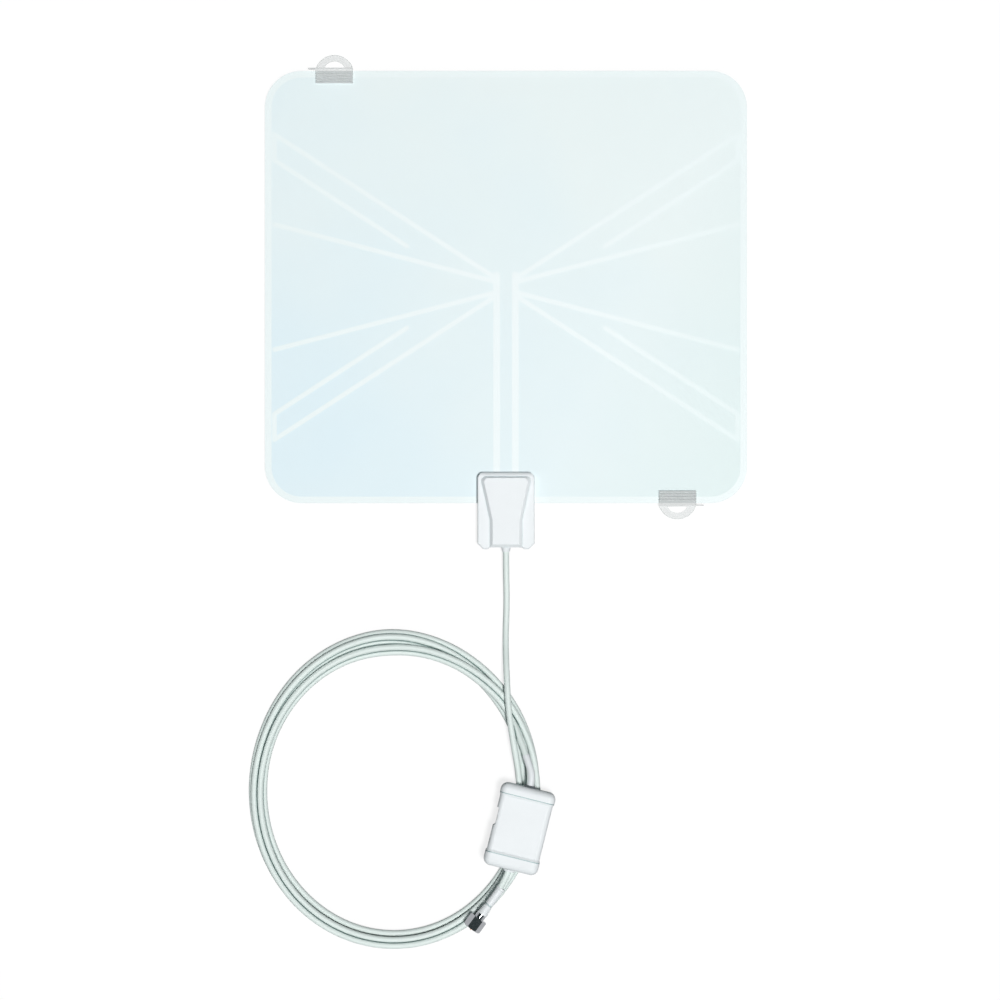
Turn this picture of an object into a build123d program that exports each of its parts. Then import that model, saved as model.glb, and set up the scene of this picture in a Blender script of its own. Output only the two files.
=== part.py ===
from build123d import *
import os
from math import cos, radians, sin, sqrt, tan

# Flat indoor television antenna, lying face up with its coax lead coiled below it.
# Millimetres. The origin is the centre of the feed housing's flat back face.
# +X is to the right of the sheet, +Y runs up the sheet and +Z points out of its front.

# Antenna sheet: two clear films sealed at the rim, with the radiator foil between them
SHEET_WIDTH = 330.0
SHEET_LENGTH = 296.0
SHEET_CORNER = 25.0
SHEET_RIM = 4.5
FILM = 0.35
FOIL = 0.1

# Radiator strips, fed by two lines that run down into the housing
STRIP_WIDTH = 3.2
FEED_WIDTH = 4.6
FEED_SPACING = 12.8
FEED_HEAD = 8.3
ARM_MARGIN = 6.5
OUTER_ARM_ANGLE = 33.0
OUTER_ARM_ROOT = 5.7
INNER_ARM_ANGLE = 14.5
INNER_ARM_ROOT = 3.5
RETURN_DROP = 17.6
RETURN_END = 67.8
FEED_PAD_WIDTH = 6.4
FEED_PAD_LENGTH = 8.0
FEED_PAD_INSET = 11.0

# Hang tabs, clipped over the sheet's edge
TAB_INSET = 47.5
TAB_WIDTH = 25.4
TAB_RISE = 9.2
TAB_PLATE = 1.6
TAB_PLATE_EDGE = 0.4
TAB_GRIP = 8.6
TAB_BRIDGE = 1.0
TAB_JAW = 1.3
TAB_RIBS = 4
TAB_RIB_PITCH = 1.9
TAB_RIB_WIDTH = 1.2
TAB_RIB_HEIGHT = 0.6
TAB_FLANGE = 0.8
TAB_FLANGE_HEIGHT = 2.3
TAB_FLANGE_TAIL = 5.0
TAB_SLOT_WIDTH = 13.7
TAB_SLOT_RISE = 4.4
TAB_SLOT_GAP = 0.5

# Feed housing, closed over the lower edge of the sheet
HOUSING_WIDTH = 39.0
HOUSING_LENGTH = 52.6
HOUSING_CORNER = 4.5
HOUSING_FOOT_CHAMFER = 4.0
HOUSING_FOOT_NOTCH = 1.2
HOUSING_EDGE = 1.0
HOUSING_HEAD_ROUND = 2.8
REAR_EDGE = 0.5
HOUSING_WALL = 1.6
HOUSING_ROOF = 1.5
HOUSING_GRIP = 21.2
REAR_PLATE = 2.6
SHOULDER_HEIGHT = 5.6
SHIELD_RISE = 2.5
SHIELD_SLOPE = 2.1
SHIELD_HEAD_SLOPE = 0.9
SHIELD_HEAD_WIDTH = 34.0
SHIELD_HEAD_MARGIN = 2.9
SHIELD_HEAD_LENGTH = 3.3
SHIELD_TAPER_LENGTH = 26.0
SHIELD_FOOT_WIDTH = 22.4
SHIELD_CORNER = 3.0
SHIELD_WAIST_RADIUS = 14.0
SHIELD_EDGE = 0.6
PEG_RADIUS = 1.4
PEG_DEPTH = 1.5
PEG_SPREAD = 30.0
PEG_HEAD_MARGIN = 8.5
PEG_FOOT_MARGIN = 9.0
FIT = 0.05
SHEET_GAP = 0.3

# Matching board inside the housing, with its balun and the feed contacts
BOARD_WIDTH = 25.0
BOARD_LENGTH = 35.0
BOARD = 1.0
BOARD_HEAD_MARGIN = 6.0
POST_RADIUS = 1.8
POST_SPREAD = 19.0
POST_PITCH = 13.0
POST_FOOT = 3.0
CONTACT_WIDTH = 3.0
CONTACT_LENGTH = 4.4
CONTACT_STRIP = 0.25
BALUN_WIDTH = 7.0
BALUN_LENGTH = 6.4
BALUN_HEIGHT = 3.4
BALUN_HOLE = 0.95
BALUN_HOLE_PITCH = 3.2
BALUN_ABOVE_CENTRE = 2.0
WINDING_WIRE = 0.22
WINDING_TURNS = 2
WINDING_PITCH = 0.5
WINDING_OVERHANG = 1.0
WINDING_BEND = 0.9

# Coax lead
CABLE_DIAMETER = 4.2
CABLE_HEIGHT = 6.2
CABLE_INSIDE = 6.0
CABLE_RUN_OUT = 14.0
BEND_SHARE = 0.45
CORE_RADIUS = 0.4
CORE_LENGTH = 6.0
GROMMET_NECK = 3.4
GROMMET_TIP = 2.5
GROMMET_GROOVE = 3.1
GROMMET_LENGTH = 3.0
GROMMET_FLANGE = 1.8

# Coil of the lead: five turns, bundled two layers high between two ovals
COIL_OUTER = (100.0, 109.3)
COIL_OUTER_CENTRE = (-75.8, -190.1)
COIL_INNER = (86.2, 94.1)
COIL_INNER_CENTRE = (-77.6, -193.6)
COIL_HEIGHT = 8.4
COIL_EDGE = 2.0

# In-line amplifier, lying on the coil
AMP_CENTRE = (9.2, -216.5)
AMP_TURN = 14.0
AMP_WIDTH = 38.0
AMP_LENGTH = 57.6
AMP_HEIGHT = 14.0
AMP_CORNER = 5.0
AMP_EDGE = 4.2
AMP_WALL = 2.2
AMP_HEAD_BAND = 7.5
AMP_FOOT_BAND = 9.5
AMP_WAIST = 0.7
AMP_FLANK = 1.4
AMP_GROOVE_WIDTH = 0.6
AMP_GROOVE_DEPTH = 0.5
PORT_LENGTH = 12.7
PORT_HEIGHT = 11.4
PORT_DEPTH = 1.5
PORT_OFFSET = 4.7
PORT_CORNER = 1.5
GLAND_HOLE = 3.3
GLAND_COLLAR = 4.1
GLAND_COLLAR_TIP = 3.6
GLAND_COLLAR_LENGTH = 1.4
GLAND_FLANGE = 1.2
BOOT_RADIUS = 2.5
BOOT_LENGTH = 23.0
INPUT_INSIDE = 6.5
INPUT_RUN = 8.0
AMP_BOARD_WIDTH = 29.0
AMP_BOARD_LENGTH = 43.0
AMP_BOARD = 1.2
AMP_POST_RADIUS = 2.0
AMP_POST_INSET = 3.0
CAN_WIDTH = 15.0
CAN_LENGTH = 24.0
CAN_HEIGHT = 4.0
CAN_SHEET = 0.4
CAN_OFFSET = 4.0
SOCKET_WIDTH = 7.6
SOCKET_DEPTH = 5.4
SOCKET_HEIGHT = 2.8
SOCKET_SHEET = 0.35
TONGUE_WIDTH = 4.0
TONGUE_LENGTH = 4.2
TONGUE = 0.7

# Tail and screw-on connector
TAIL_RUN = 8.0
TAIL_INSIDE = 5.0
TAIL_TURN = 22.5
TAIL_TO_SLEEVE = 6.0
SLEEVE_RADIUS = 2.9
SLEEVE_LENGTH = 15.0
SLEEVE_LIP = 0.35
SLEEVE_LIP_LENGTH = 1.4
SLEEVE_RING = 0.6
SLEEVE_RING_LENGTH = 1.2
FLARE_RADIUS = 3.7
FLARE_LENGTH = 7.0
BARREL_RADIUS = 2.6
BARREL_LENGTH = 10.0
COLLAR_RADIUS = 3.5
NUT_FLATS = 11.0
NUT_LENGTH = 9.0
NUT_LIP = 1.8
NUT_CHAMFER = 0.7
NUT_BORE = 4.5
NUT_PLAY = 0.3
POST_NECK = 3.2
POST_FLANGE = 4.1
POST_FLANGE_LENGTH = 1.2
SPIN_CLEARANCE = 0.08
INSULATOR_RADIUS = 1.5
PIN_RADIUS = 0.5
PIN_TIP_RADIUS = 0.25
PIN_PROUD = 1.2

# Levels and places that follow from the sizes above
SHEET_BOTTOM = REAR_PLATE
FILM_SEAM = SHEET_BOTTOM + FILM
FRONT_FILM_BOTTOM = FILM_SEAM + FIT
SHEET_TOP = FRONT_FILM_BOTTOM + FILM
HOUSING_HEAD = HOUSING_LENGTH / 2
SHEET_FOOT = HOUSING_HEAD - HOUSING_GRIP
SHEET_CENTRE = SHEET_FOOT + SHEET_LENGTH / 2
SHEET_HEAD = SHEET_FOOT + SHEET_LENGTH
FOOT_WALL = -HOUSING_HEAD + HOUSING_FOOT_NOTCH
SHOULDER_TOP = SHEET_TOP + SHOULDER_HEIGHT
BOARD_TOP = CABLE_HEIGHT - CORE_RADIUS
BOARD_BOTTOM = BOARD_TOP - BOARD
BOARD_HEAD = HOUSING_HEAD - BOARD_HEAD_MARGIN
BOARD_FOOT = BOARD_HEAD - BOARD_LENGTH
CABLE_RADIUS = CABLE_DIAMETER / 2
CABLE_END = FOOT_WALL + CABLE_INSIDE
FEED_PAD_CENTRE = SHEET_FOOT + FEED_PAD_INSET
AMP_AXIS = Vector(sin(radians(AMP_TURN)), cos(radians(AMP_TURN)), 0)
AMP_MIDDLE = Vector(*AMP_CENTRE, COIL_HEIGHT + AMP_HEIGHT / 2)
AMP_INPUT = AMP_MIDDLE + AMP_AXIS * (AMP_LENGTH / 2)
AMP_OUTPUT = AMP_MIDDLE - AMP_AXIS * (AMP_LENGTH / 2)
AMP_BOARD_TOP = AMP_HEIGHT / 2 - SOCKET_HEIGHT / 2
AMP_BOARD_BOTTOM = AMP_BOARD_TOP - AMP_BOARD
CONNECTOR_TURN = radians(AMP_TURN + TAIL_TURN)
CONNECTOR_AXIS = Vector(-sin(CONNECTOR_TURN), -cos(CONNECTOR_TURN), 0)
TAIL_CORNER = AMP_OUTPUT - AMP_AXIS * TAIL_RUN
CONNECTOR_START = TAIL_CORNER + CONNECTOR_AXIS * TAIL_TO_SLEEVE
FLARE_END = SLEEVE_LENGTH + FLARE_LENGTH
BARREL_END = SLEEVE_LENGTH + BARREL_LENGTH
NUT_START = BARREL_END + NUT_PLAY
FLANGE_START = NUT_START + NUT_LIP + NUT_PLAY
FLANGE_END = FLANGE_START + POST_FLANGE_LENGTH

# Routes of the free stretches of the lead, chosen by hand
FEED_ROUTE = [
    Vector(0.0, CABLE_END, CABLE_HEIGHT),
    Vector(0.0, FOOT_WALL - CABLE_RUN_OUT, CABLE_HEIGHT),
    Vector(0.6, -62.0, 2.3),
    Vector(-0.4, -88.0, 2.2),
    Vector(0.4, -112.0, 10.6),
    Vector(1.6, -136.0, 12.0),
    Vector(5.2, -160.0, 11.0),
    Vector(9.4, -184.0, 5.0),
]
INPUT_ROUTE = [
    AMP_INPUT - AMP_AXIS * INPUT_INSIDE,
    AMP_INPUT + AMP_AXIS * INPUT_RUN,
    Vector(10.9, -159.0, 11.4),
    Vector(4.6, -143.6, 6.4),
    Vector(-2.0, -132.5, 5.8),
    Vector(-10.4, -123.2, 5.8),
]
TAIL_ROUTE = [
    AMP_OUTPUT + AMP_AXIS * TAIL_INSIDE,
    TAIL_CORNER,
    CONNECTOR_START + CONNECTOR_AXIS * SLEEVE_LENGTH,
]


def corner_radii(points):
    """Soft arc at each corner of a route, which takes a set share of the shorter run."""
    radii = []
    for before, here, after in zip(points, points[1:], points[2:]):
        turn = (here - before).get_angle(after - here)
        shorter = min((here - before).length, (after - here).length)
        radii.append(BEND_SHARE * shorter / tan(radians(turn / 2)))
    return radii


def tube(section, points, radii):
    path = FilletPolyline(*points, radius=radii)
    start = Plane(origin=points[0], z_dir=points[1] - points[0])
    return sweep(start * section, path=path)


def cable(points, name):
    radii = corner_radii(points)
    print(name, "radii", [round(radius, 1) for radius in radii])
    return tube(Circle(CABLE_RADIUS), points, radii)


def turned(profile_points):
    """Solid of revolution about the local Z axis from radius and height pairs."""
    return revolve(Plane.XZ * make_face(Polyline(*profile_points, close=True)), axis=Axis.Z)


def bar(start, end, width):
    """Flat strip with round ends between two points of the sheet."""
    run = Vector(*end) - Vector(*start)
    middle = Vector(*start) + run * 0.5
    lean = Vector(1, 0, 0).get_signed_angle(run, Vector(0, 0, 1))
    return Pos(middle.X, middle.Y) * Rot(0, 0, lean) * SlotCenterToCenter(run.length, width)


# Sheet

def peg_places():
    """Pegs of the front cover: a pair through the sheet and a pair below it."""
    heights = (HOUSING_HEAD - PEG_HEAD_MARGIN, -HOUSING_HEAD + PEG_FOOT_MARGIN)
    return [(side * PEG_SPREAD / 2, height) for height in heights for side in (-1, 1)]


def peg_holes(radius, bottom, depth):
    return [Pos(x, y, bottom + depth / 2) * Cylinder(radius, depth) for x, y in peg_places()]


def sheet_layer(inset, bottom, thickness):
    corner = SHEET_CORNER - inset
    outline = RectangleRounded(SHEET_WIDTH - 2 * inset, SHEET_LENGTH - 2 * inset, corner)
    return extrude(Pos(0, SHEET_CENTRE, bottom) * outline, thickness)


def rear_film():
    film = sheet_layer(0, SHEET_BOTTOM, FILM)
    return film - peg_holes(PEG_RADIUS + FIT, SHEET_BOTTOM, FILM)


def front_film():
    """Front film, hollowed inside the rim by the foil's thickness, with a window over each feed pad."""
    film = sheet_layer(0, FRONT_FILM_BOTTOM, FILM) - sheet_layer(SHEET_RIM, FRONT_FILM_BOTTOM, FOIL)
    window = Box(CONTACT_WIDTH + 2 * SHEET_GAP, CONTACT_LENGTH + 2 * SHEET_GAP, 2 * FILM)
    for side in (-1, 1):
        film -= Pos(side * FEED_SPACING / 2, FEED_PAD_CENTRE, FRONT_FILM_BOTTOM + FILM / 2) * window
    return film - peg_holes(PEG_RADIUS + FIT, FRONT_FILM_BOTTOM, FILM)


def right_radiator():
    """Four arms fanned out from the feed line. The outer ones fold back at the sheet's edge."""
    reach = SHEET_WIDTH / 2 - ARM_MARGIN
    feed = FEED_SPACING / 2
    run = reach - feed
    outer_tip = OUTER_ARM_ROOT + run * tan(radians(OUTER_ARM_ANGLE))
    inner_tip = INNER_ARM_ROOT + run * tan(radians(INNER_ARM_ANGLE))
    fold = outer_tip - RETURN_DROP
    return_end = fold - (reach - RETURN_END) * tan(radians(OUTER_ARM_ANGLE))
    pad_centre = FEED_PAD_CENTRE - SHEET_CENTRE
    foil = bar((feed, FEED_HEAD), (feed, pad_centre), FEED_WIDTH)
    foil += Pos(feed, pad_centre) * Rectangle(FEED_PAD_WIDTH, FEED_PAD_LENGTH)
    for side in (-1, 1):
        foil += bar((feed, side * OUTER_ARM_ROOT), (reach, side * outer_tip), STRIP_WIDTH)
        foil += bar((reach, side * outer_tip), (reach, side * fold), STRIP_WIDTH)
        foil += bar((reach, side * fold), (RETURN_END, side * return_end), STRIP_WIDTH)
        foil += bar((feed, side * INNER_ARM_ROOT), (reach, side * inner_tip), STRIP_WIDTH)
    return extrude(Pos(0, SHEET_CENTRE, FILM_SEAM) * foil, FOIL)


# Hang tabs

def half_moon(chord, rise, base):
    """Segment of a disc that stands on a chord."""
    arc = ThreePointArc((-chord / 2, base), (0, base + rise), (chord / 2, base))
    return make_face(arc + Line((chord / 2, base), (-chord / 2, base)))


def tab_plate(base):
    """Part of a disc that stands on a chord, with its upper edge bevelled."""
    radius = (TAB_WIDTH ** 2 / 4 + TAB_RISE ** 2) / (2 * TAB_RISE)
    disc = turned([
        (0, 0), (radius, 0), (radius, TAB_PLATE - TAB_PLATE_EDGE),
        (radius - TAB_PLATE_EDGE, TAB_PLATE), (0, TAB_PLATE)])
    zone = Pos(0, base + TAB_RISE / 2, TAB_PLATE / 2) * Box(2 * TAB_WIDTH, TAB_RISE, TAB_PLATE)
    return zone & Pos(0, base + TAB_RISE - radius) * disc


def hang_tab():
    """Tab in its own place: the sheet's edge is at Y = 0 and the tab stands out along +Y."""
    jaw_top = SHEET_TOP + TAB_JAW
    grip_length = TAB_GRIP + TAB_BRIDGE
    grip_centre = (TAB_BRIDGE - TAB_GRIP) / 2
    flange_top = jaw_top + TAB_FLANGE_HEIGHT - TAB_JAW
    plate_base = TAB_BRIDGE + TAB_FLANGE
    tab = Pos(0, grip_centre, jaw_top / 2) * Box(TAB_WIDTH, grip_length, jaw_top)
    sheet_slot = Box(TAB_WIDTH, TAB_GRIP, SHEET_TOP - SHEET_BOTTOM)
    tab -= Pos(0, -TAB_GRIP / 2, (SHEET_TOP + SHEET_BOTTOM) / 2) * sheet_slot
    rib = make_face(Polyline(
        (-TAB_RIB_WIDTH / 2, 0), (0, TAB_RIB_HEIGHT), (TAB_RIB_WIDTH / 2, 0), close=True))
    for index in range(TAB_RIBS):
        place = -TAB_GRIP + TAB_RIB_WIDTH / 2 + index * TAB_RIB_PITCH
        tab += Pos(0, place, jaw_top) * extrude(Plane.YZ * rib, TAB_WIDTH / 2, both=True)
    flange_width = TAB_WIDTH + TAB_FLANGE_TAIL
    flange = Box(flange_width, TAB_FLANGE, flange_top)
    tab += Pos(-TAB_FLANGE_TAIL / 2, TAB_BRIDGE + TAB_FLANGE / 2, flange_top / 2) * flange
    slot = half_moon(TAB_SLOT_WIDTH, TAB_SLOT_RISE, plate_base + TAB_SLOT_GAP)
    return tab + tab_plate(plate_base) - extrude(slot, TAB_PLATE)


def hang_tab_top():
    return Pos(TAB_INSET - SHEET_WIDTH / 2, SHEET_HEAD) * hang_tab()


def hang_tab_bottom():
    return Pos(SHEET_WIDTH / 2 - TAB_INSET, SHEET_FOOT) * Rot(0, 0, 180) * hang_tab()


# Feed housing

def housing_outline(inset):
    """Plan of the housing: round at the head, cut off at the feet, notched between the feet."""
    half = HOUSING_WIDTH / 2
    notch = SHIELD_FOOT_WIDTH / 2
    slope = HOUSING_FOOT_NOTCH
    plan = make_face(Polyline(
        (half, HOUSING_HEAD),
        (-half, HOUSING_HEAD),
        (-half, -HOUSING_HEAD),
        (-notch - slope, -HOUSING_HEAD),
        (-notch, FOOT_WALL),
        (notch, FOOT_WALL),
        (notch + slope, -HOUSING_HEAD),
        (half, -HOUSING_HEAD),
        close=True,
    ))
    plan = fillet(plan.vertices().sort_by(Axis.Y)[-2:], HOUSING_CORNER)
    feet = [corner for corner in plan.vertices() if abs(corner.X) > half - FIT and corner.Y < FOOT_WALL]
    plan = chamfer(feet, HOUSING_FOOT_CHAMFER)
    return offset(plan, -inset) if inset else plan


def shield_outline(side_inset, head_inset):
    """Plan of the raised shield: broad at the head, drawn in to a straight spine."""
    head = HOUSING_HEAD - SHIELD_HEAD_MARGIN - head_inset
    shoulder = head - SHIELD_HEAD_LENGTH
    waist = shoulder - SHIELD_TAPER_LENGTH
    foot = FOOT_WALL + side_inset
    broad = SHIELD_HEAD_WIDTH / 2 - side_inset
    narrow = SHIELD_FOOT_WIDTH / 2 - side_inset
    plan = make_face(Polyline(
        (broad, head), (-broad, head), (-broad, shoulder), (-narrow, waist), (-narrow, foot),
        (narrow, foot), (narrow, waist), (broad, shoulder), close=True))
    plan = fillet(plan.vertices().sort_by(Axis.Y)[-2:], SHIELD_CORNER)
    waists = [corner for corner in plan.vertices() if abs(corner.Y - waist) < FIT]
    return fillet(waists, SHIELD_WAIST_RADIUS)


def shield_block(inset, base):
    """Shield with leaning sides and a steeper head wall, shrunk by an inset all round."""
    lower = Pos(0, 0, base) * shield_outline(inset, inset)
    upper = Pos(0, 0, base + SHIELD_RISE) * shield_outline(inset + SHIELD_SLOPE, inset + SHIELD_HEAD_SLOPE)
    return loft([lower, upper], ruled=True)


def grommet_place():
    """Foot wall's outer face on the cable's axis, with the local Z axis pointing into the housing."""
    return Pos(0, FOOT_WALL, CABLE_HEIGHT) * Rot(-90, 0, 0)


def grommet_seat():
    """Way through the foot wall, widened behind it for the grommet's inner flange."""
    behind = GROMMET_NECK + FIT
    return grommet_place() * turned([
        (0, -HOUSING_FOOT_NOTCH), (GROMMET_GROOVE, -HOUSING_FOOT_NOTCH), (GROMMET_GROOVE, HOUSING_WALL),
        (behind, HOUSING_WALL), (behind, CABLE_INSIDE), (0, CABLE_INSIDE)])


def rounded_head():
    """Block over the whole cover, with its upper head edge rounded."""
    block = Box(2 * HOUSING_WIDTH, HOUSING_LENGTH, SHOULDER_HEIGHT)
    block = Pos(0, 0, SHEET_TOP + SHOULDER_HEIGHT / 2) * block
    edge = block.edges().filter_by(Axis.X).group_by(Axis.Z)[-1].sort_by(Axis.Y)[-1]
    return fillet(edge, HOUSING_HEAD_ROUND)


def housing_front_cover():
    cover = extrude(Pos(0, 0, SHEET_TOP) * housing_outline(0), SHOULDER_HEIGHT)
    cover = fillet(cover.edges().group_by(Axis.Z)[-1], HOUSING_EDGE) & rounded_head()
    shield = shield_block(0, SHOULDER_TOP)
    shield = fillet(shield.edges().group_by(Axis.Z)[-1], SHIELD_EDGE)
    cover += shield
    inside = SHOULDER_HEIGHT - HOUSING_ROOF
    cover -= extrude(Pos(0, 0, SHEET_TOP) * housing_outline(HOUSING_WALL), inside)
    cover -= shield_block(HOUSING_WALL, SHEET_TOP + inside)
    peg_bottom = REAR_PLATE - PEG_DEPTH
    for x, y in peg_places():
        peg_length = SHEET_TOP + inside - peg_bottom
        cover += Pos(x, y, peg_bottom + peg_length / 2) * Cylinder(PEG_RADIUS, peg_length)
    return cover - grommet_seat()


def board_posts():
    """Posts under the matching board, below the sheet's lower edge."""
    places = [(side * POST_SPREAD / 2, BOARD_FOOT + POST_FOOT + row * POST_PITCH)
              for row in (0, 1) for side in (-1, 1)]
    height = BOARD_BOTTOM - REAR_PLATE
    return [Pos(x, y, REAR_PLATE + height / 2) * Cylinder(POST_RADIUS, height) for x, y in places]


def housing_rear_cover():
    cover = extrude(housing_outline(0), REAR_PLATE)
    cover = chamfer(cover.edges().group_by(Axis.Z)[0], REAR_EDGE)
    rim_plan = housing_outline(0) - housing_outline(HOUSING_WALL)
    rim_head = SHEET_FOOT - SHEET_GAP
    rim_zone = Pos(0, rim_head - HOUSING_LENGTH / 2) * Rectangle(2 * HOUSING_WIDTH, HOUSING_LENGTH)
    cover += extrude(Pos(0, 0, REAR_PLATE) * (rim_plan & rim_zone), SHEET_TOP - REAR_PLATE)
    cover += board_posts()
    cover -= peg_holes(PEG_RADIUS + FIT, REAR_PLATE - PEG_DEPTH, PEG_DEPTH)
    return cover - grommet_seat()


def cable_grommet():
    """Moulded collar on the cable, held by its groove in the foot wall and flared outside."""
    flange_end = HOUSING_WALL + GROMMET_FLANGE
    return grommet_place() * turned([
        (CABLE_RADIUS, -GROMMET_LENGTH), (GROMMET_TIP, -GROMMET_LENGTH), (GROMMET_NECK, 0),
        (GROMMET_GROOVE, 0), (GROMMET_GROOVE, HOUSING_WALL), (GROMMET_NECK, HOUSING_WALL),
        (GROMMET_NECK, flange_end), (CABLE_RADIUS, flange_end)])


def matching_board():
    centre = (BOARD_HEAD + BOARD_FOOT) / 2
    return Pos(0, centre, BOARD_BOTTOM + BOARD / 2) * Box(BOARD_WIDTH, BOARD_LENGTH, BOARD)


def feed_contact(side):
    """Sprung strip that presses on a feed pad through the window in the film."""
    foil_top = FILM_SEAM + FOIL
    height = BOARD_BOTTOM - foil_top
    leaf = Rectangle(CONTACT_LENGTH, height)
    inner_length = CONTACT_LENGTH - CONTACT_STRIP
    inner = Rectangle(inner_length, height - 2 * CONTACT_STRIP)
    leaf -= Pos((CONTACT_LENGTH - inner_length) / 2, 0) * inner
    spring = extrude(Plane.YZ * leaf, CONTACT_WIDTH / 2, both=True)
    middle = foil_top + height / 2
    return Pos(side * FEED_SPACING / 2, FEED_PAD_CENTRE, middle) * spring


def balun_place(lift):
    return Pos(0, BALUN_ABOVE_CENTRE, BOARD_TOP + lift)


def balun_core():
    core = Box(BALUN_LENGTH, BALUN_WIDTH, BALUN_HEIGHT)
    for side in (-1, 1):
        core -= Pos(0, side * BALUN_HOLE_PITCH / 2) * Rot(0, 90, 0) * Cylinder(BALUN_HOLE, BALUN_LENGTH)
    return balun_place(BALUN_HEIGHT / 2) * core


def balun_winding():
    """One wire round the middle bar of the core, through both of its holes, a pitch higher at each turn."""
    reach = BALUN_LENGTH / 2 + WINDING_OVERHANG
    across = BALUN_HOLE_PITCH / 2
    corners = [(-reach, -across), (reach, -across), (reach, across), (-reach, across)]
    lowest = -(WINDING_TURNS - 1) / 2 * WINDING_PITCH
    path = [Vector(x, y, lowest + turn * WINDING_PITCH) for turn in range(WINDING_TURNS) for x, y in corners]
    return balun_place(BALUN_HEIGHT / 2) * tube(Circle(WINDING_WIRE), path, WINDING_BEND)


def cable_core():
    """Bared inner conductor, from the cable's end to the board it lies on."""
    core = Rot(90, 0, 0) * Cylinder(CORE_RADIUS, CORE_LENGTH)
    return Pos(0, CABLE_END + CORE_LENGTH / 2, CABLE_HEIGHT) * core


# Lead

def oval(half_width, half_length):
    """Oval of four tangent arcs, which join where their radii lean at 45 degrees."""
    centre = (half_length - half_width) / (2 - sqrt(2))
    across = (half_width + centre) / sqrt(2) - centre
    along = (half_width + centre) / sqrt(2)
    joins = [(across, -along), (across, along), (-across, along), (-across, -along)]
    crowns = [(half_width, 0), (0, half_length), (-half_width, 0), (0, -half_length)]
    arcs = [ThreePointArc(joins[i], crowns[i], joins[(i + 1) % 4]) for i in range(4)]
    return make_face(arcs)


def cable_coil():
    plan = Pos(*COIL_OUTER_CENTRE) * oval(*COIL_OUTER) - Pos(*COIL_INNER_CENTRE) * oval(*COIL_INNER)
    ring = extrude(plan, COIL_HEIGHT)
    return chamfer(ring.edges().group_by(Axis.Z)[-1] + ring.edges().group_by(Axis.Z)[0], COIL_EDGE)


# Amplifier, modelled upright at its own centre: the input end is at +Y and its underside at Z = 0

def amp_place():
    return Pos(*AMP_CENTRE, COIL_HEIGHT) * Rot(0, 0, -AMP_TURN)


def amp_block(inset):
    """Rounded box with the amplifier's ends, and its sides and faces drawn in by an inset."""
    plan = RectangleRounded(AMP_WIDTH - 2 * inset, AMP_LENGTH, AMP_CORNER)
    block = extrude(plan, AMP_HEIGHT - 2 * inset)
    block = fillet(block.edges().group_by(Axis.Z)[0] + block.edges().group_by(Axis.Z)[-1], AMP_EDGE)
    return Pos(0, 0, inset) * block


def amp_zone(start, end):
    """Slice across the amplifier between two places along its length."""
    return Pos(0, (start + end) / 2, AMP_HEIGHT / 2) * Box(2 * AMP_WIDTH, end - start, 2 * AMP_HEIGHT)


def amp_waist(start, end):
    """Middle of the amplifier, which slopes down from both bands to a lower panel."""
    sections = []
    for place, inset in ((start, 0), (start + AMP_FLANK, AMP_WAIST), (end - AMP_FLANK, AMP_WAIST), (end, 0)):
        outline = RectangleRounded(AMP_WIDTH - 2 * inset, AMP_HEIGHT - 2 * inset, AMP_EDGE - inset)
        sections.append(Pos(0, place, AMP_HEIGHT / 2) * Rot(90, 0, 0) * outline)
    return loft(sections, ruled=True)


def amp_body():
    """Both shells together: a rounded box drawn in between its end bands, hollow, open at the glands."""
    waist_start = -AMP_LENGTH / 2 + AMP_FOOT_BAND
    waist_end = AMP_LENGTH / 2 - AMP_HEAD_BAND
    body = amp_block(0) - amp_zone(waist_start, waist_end) + amp_waist(waist_start, waist_end)
    for start in (waist_start - AMP_GROOVE_WIDTH, waist_end):
        body -= amp_zone(start, start + AMP_GROOVE_WIDTH) - amp_block(AMP_GROOVE_DEPTH)
    wall = AMP_WALL + AMP_WAIST
    cavity = RectangleRounded(AMP_WIDTH - 2 * wall, AMP_LENGTH - 2 * AMP_WALL, AMP_CORNER - AMP_WALL)
    body -= extrude(Pos(0, 0, wall) * cavity, AMP_HEIGHT - 2 * wall)
    body -= Pos(0, 0, AMP_HEIGHT / 2) * Rot(90, 0, 0) * Cylinder(GLAND_HOLE, 2 * AMP_LENGTH)
    return body - power_port()


def power_port():
    """Recess for the power plug in the left side, and the way through the wall for its socket."""
    outside = -AMP_WIDTH / 2 + AMP_WAIST
    mouth = extrude(RectangleRounded(PORT_LENGTH, PORT_HEIGHT, PORT_CORNER), PORT_DEPTH + AMP_WAIST)
    recess = Pos(outside + PORT_DEPTH, 0, 0) * Rot(0, -90, 0) * Rot(0, 0, 90) * mouth
    opening = Box(AMP_WALL + PORT_DEPTH, SOCKET_WIDTH + 2 * FIT, SOCKET_HEIGHT + 2 * FIT)
    passage = Pos(outside + AMP_WALL / 2, 0, 0) * opening
    return Pos(0, PORT_OFFSET, AMP_HEIGHT / 2) * (recess + passage)


def amp_half(top):
    middle = AMP_HEIGHT / 2
    half = Box(2 * AMP_WIDTH, 2 * AMP_LENGTH, AMP_HEIGHT)
    return amp_body() & Pos(0, 0, middle + (middle if top else -middle)) * half


def amplifier_top_shell():
    return amp_place() * amp_half(True)


def amplifier_bottom_shell():
    floor = AMP_WALL + AMP_WAIST
    height = AMP_BOARD_BOTTOM - floor
    shell = amp_half(False)
    for x in (-1, 1):
        for y in (-1, 1):
            across = x * (AMP_BOARD_WIDTH / 2 - AMP_POST_INSET)
            along = y * (AMP_BOARD_LENGTH / 2 - AMP_POST_INSET)
            shell += Pos(across, along, floor + height / 2) * Cylinder(AMP_POST_RADIUS, height)
    return amp_place() * shell


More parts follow.
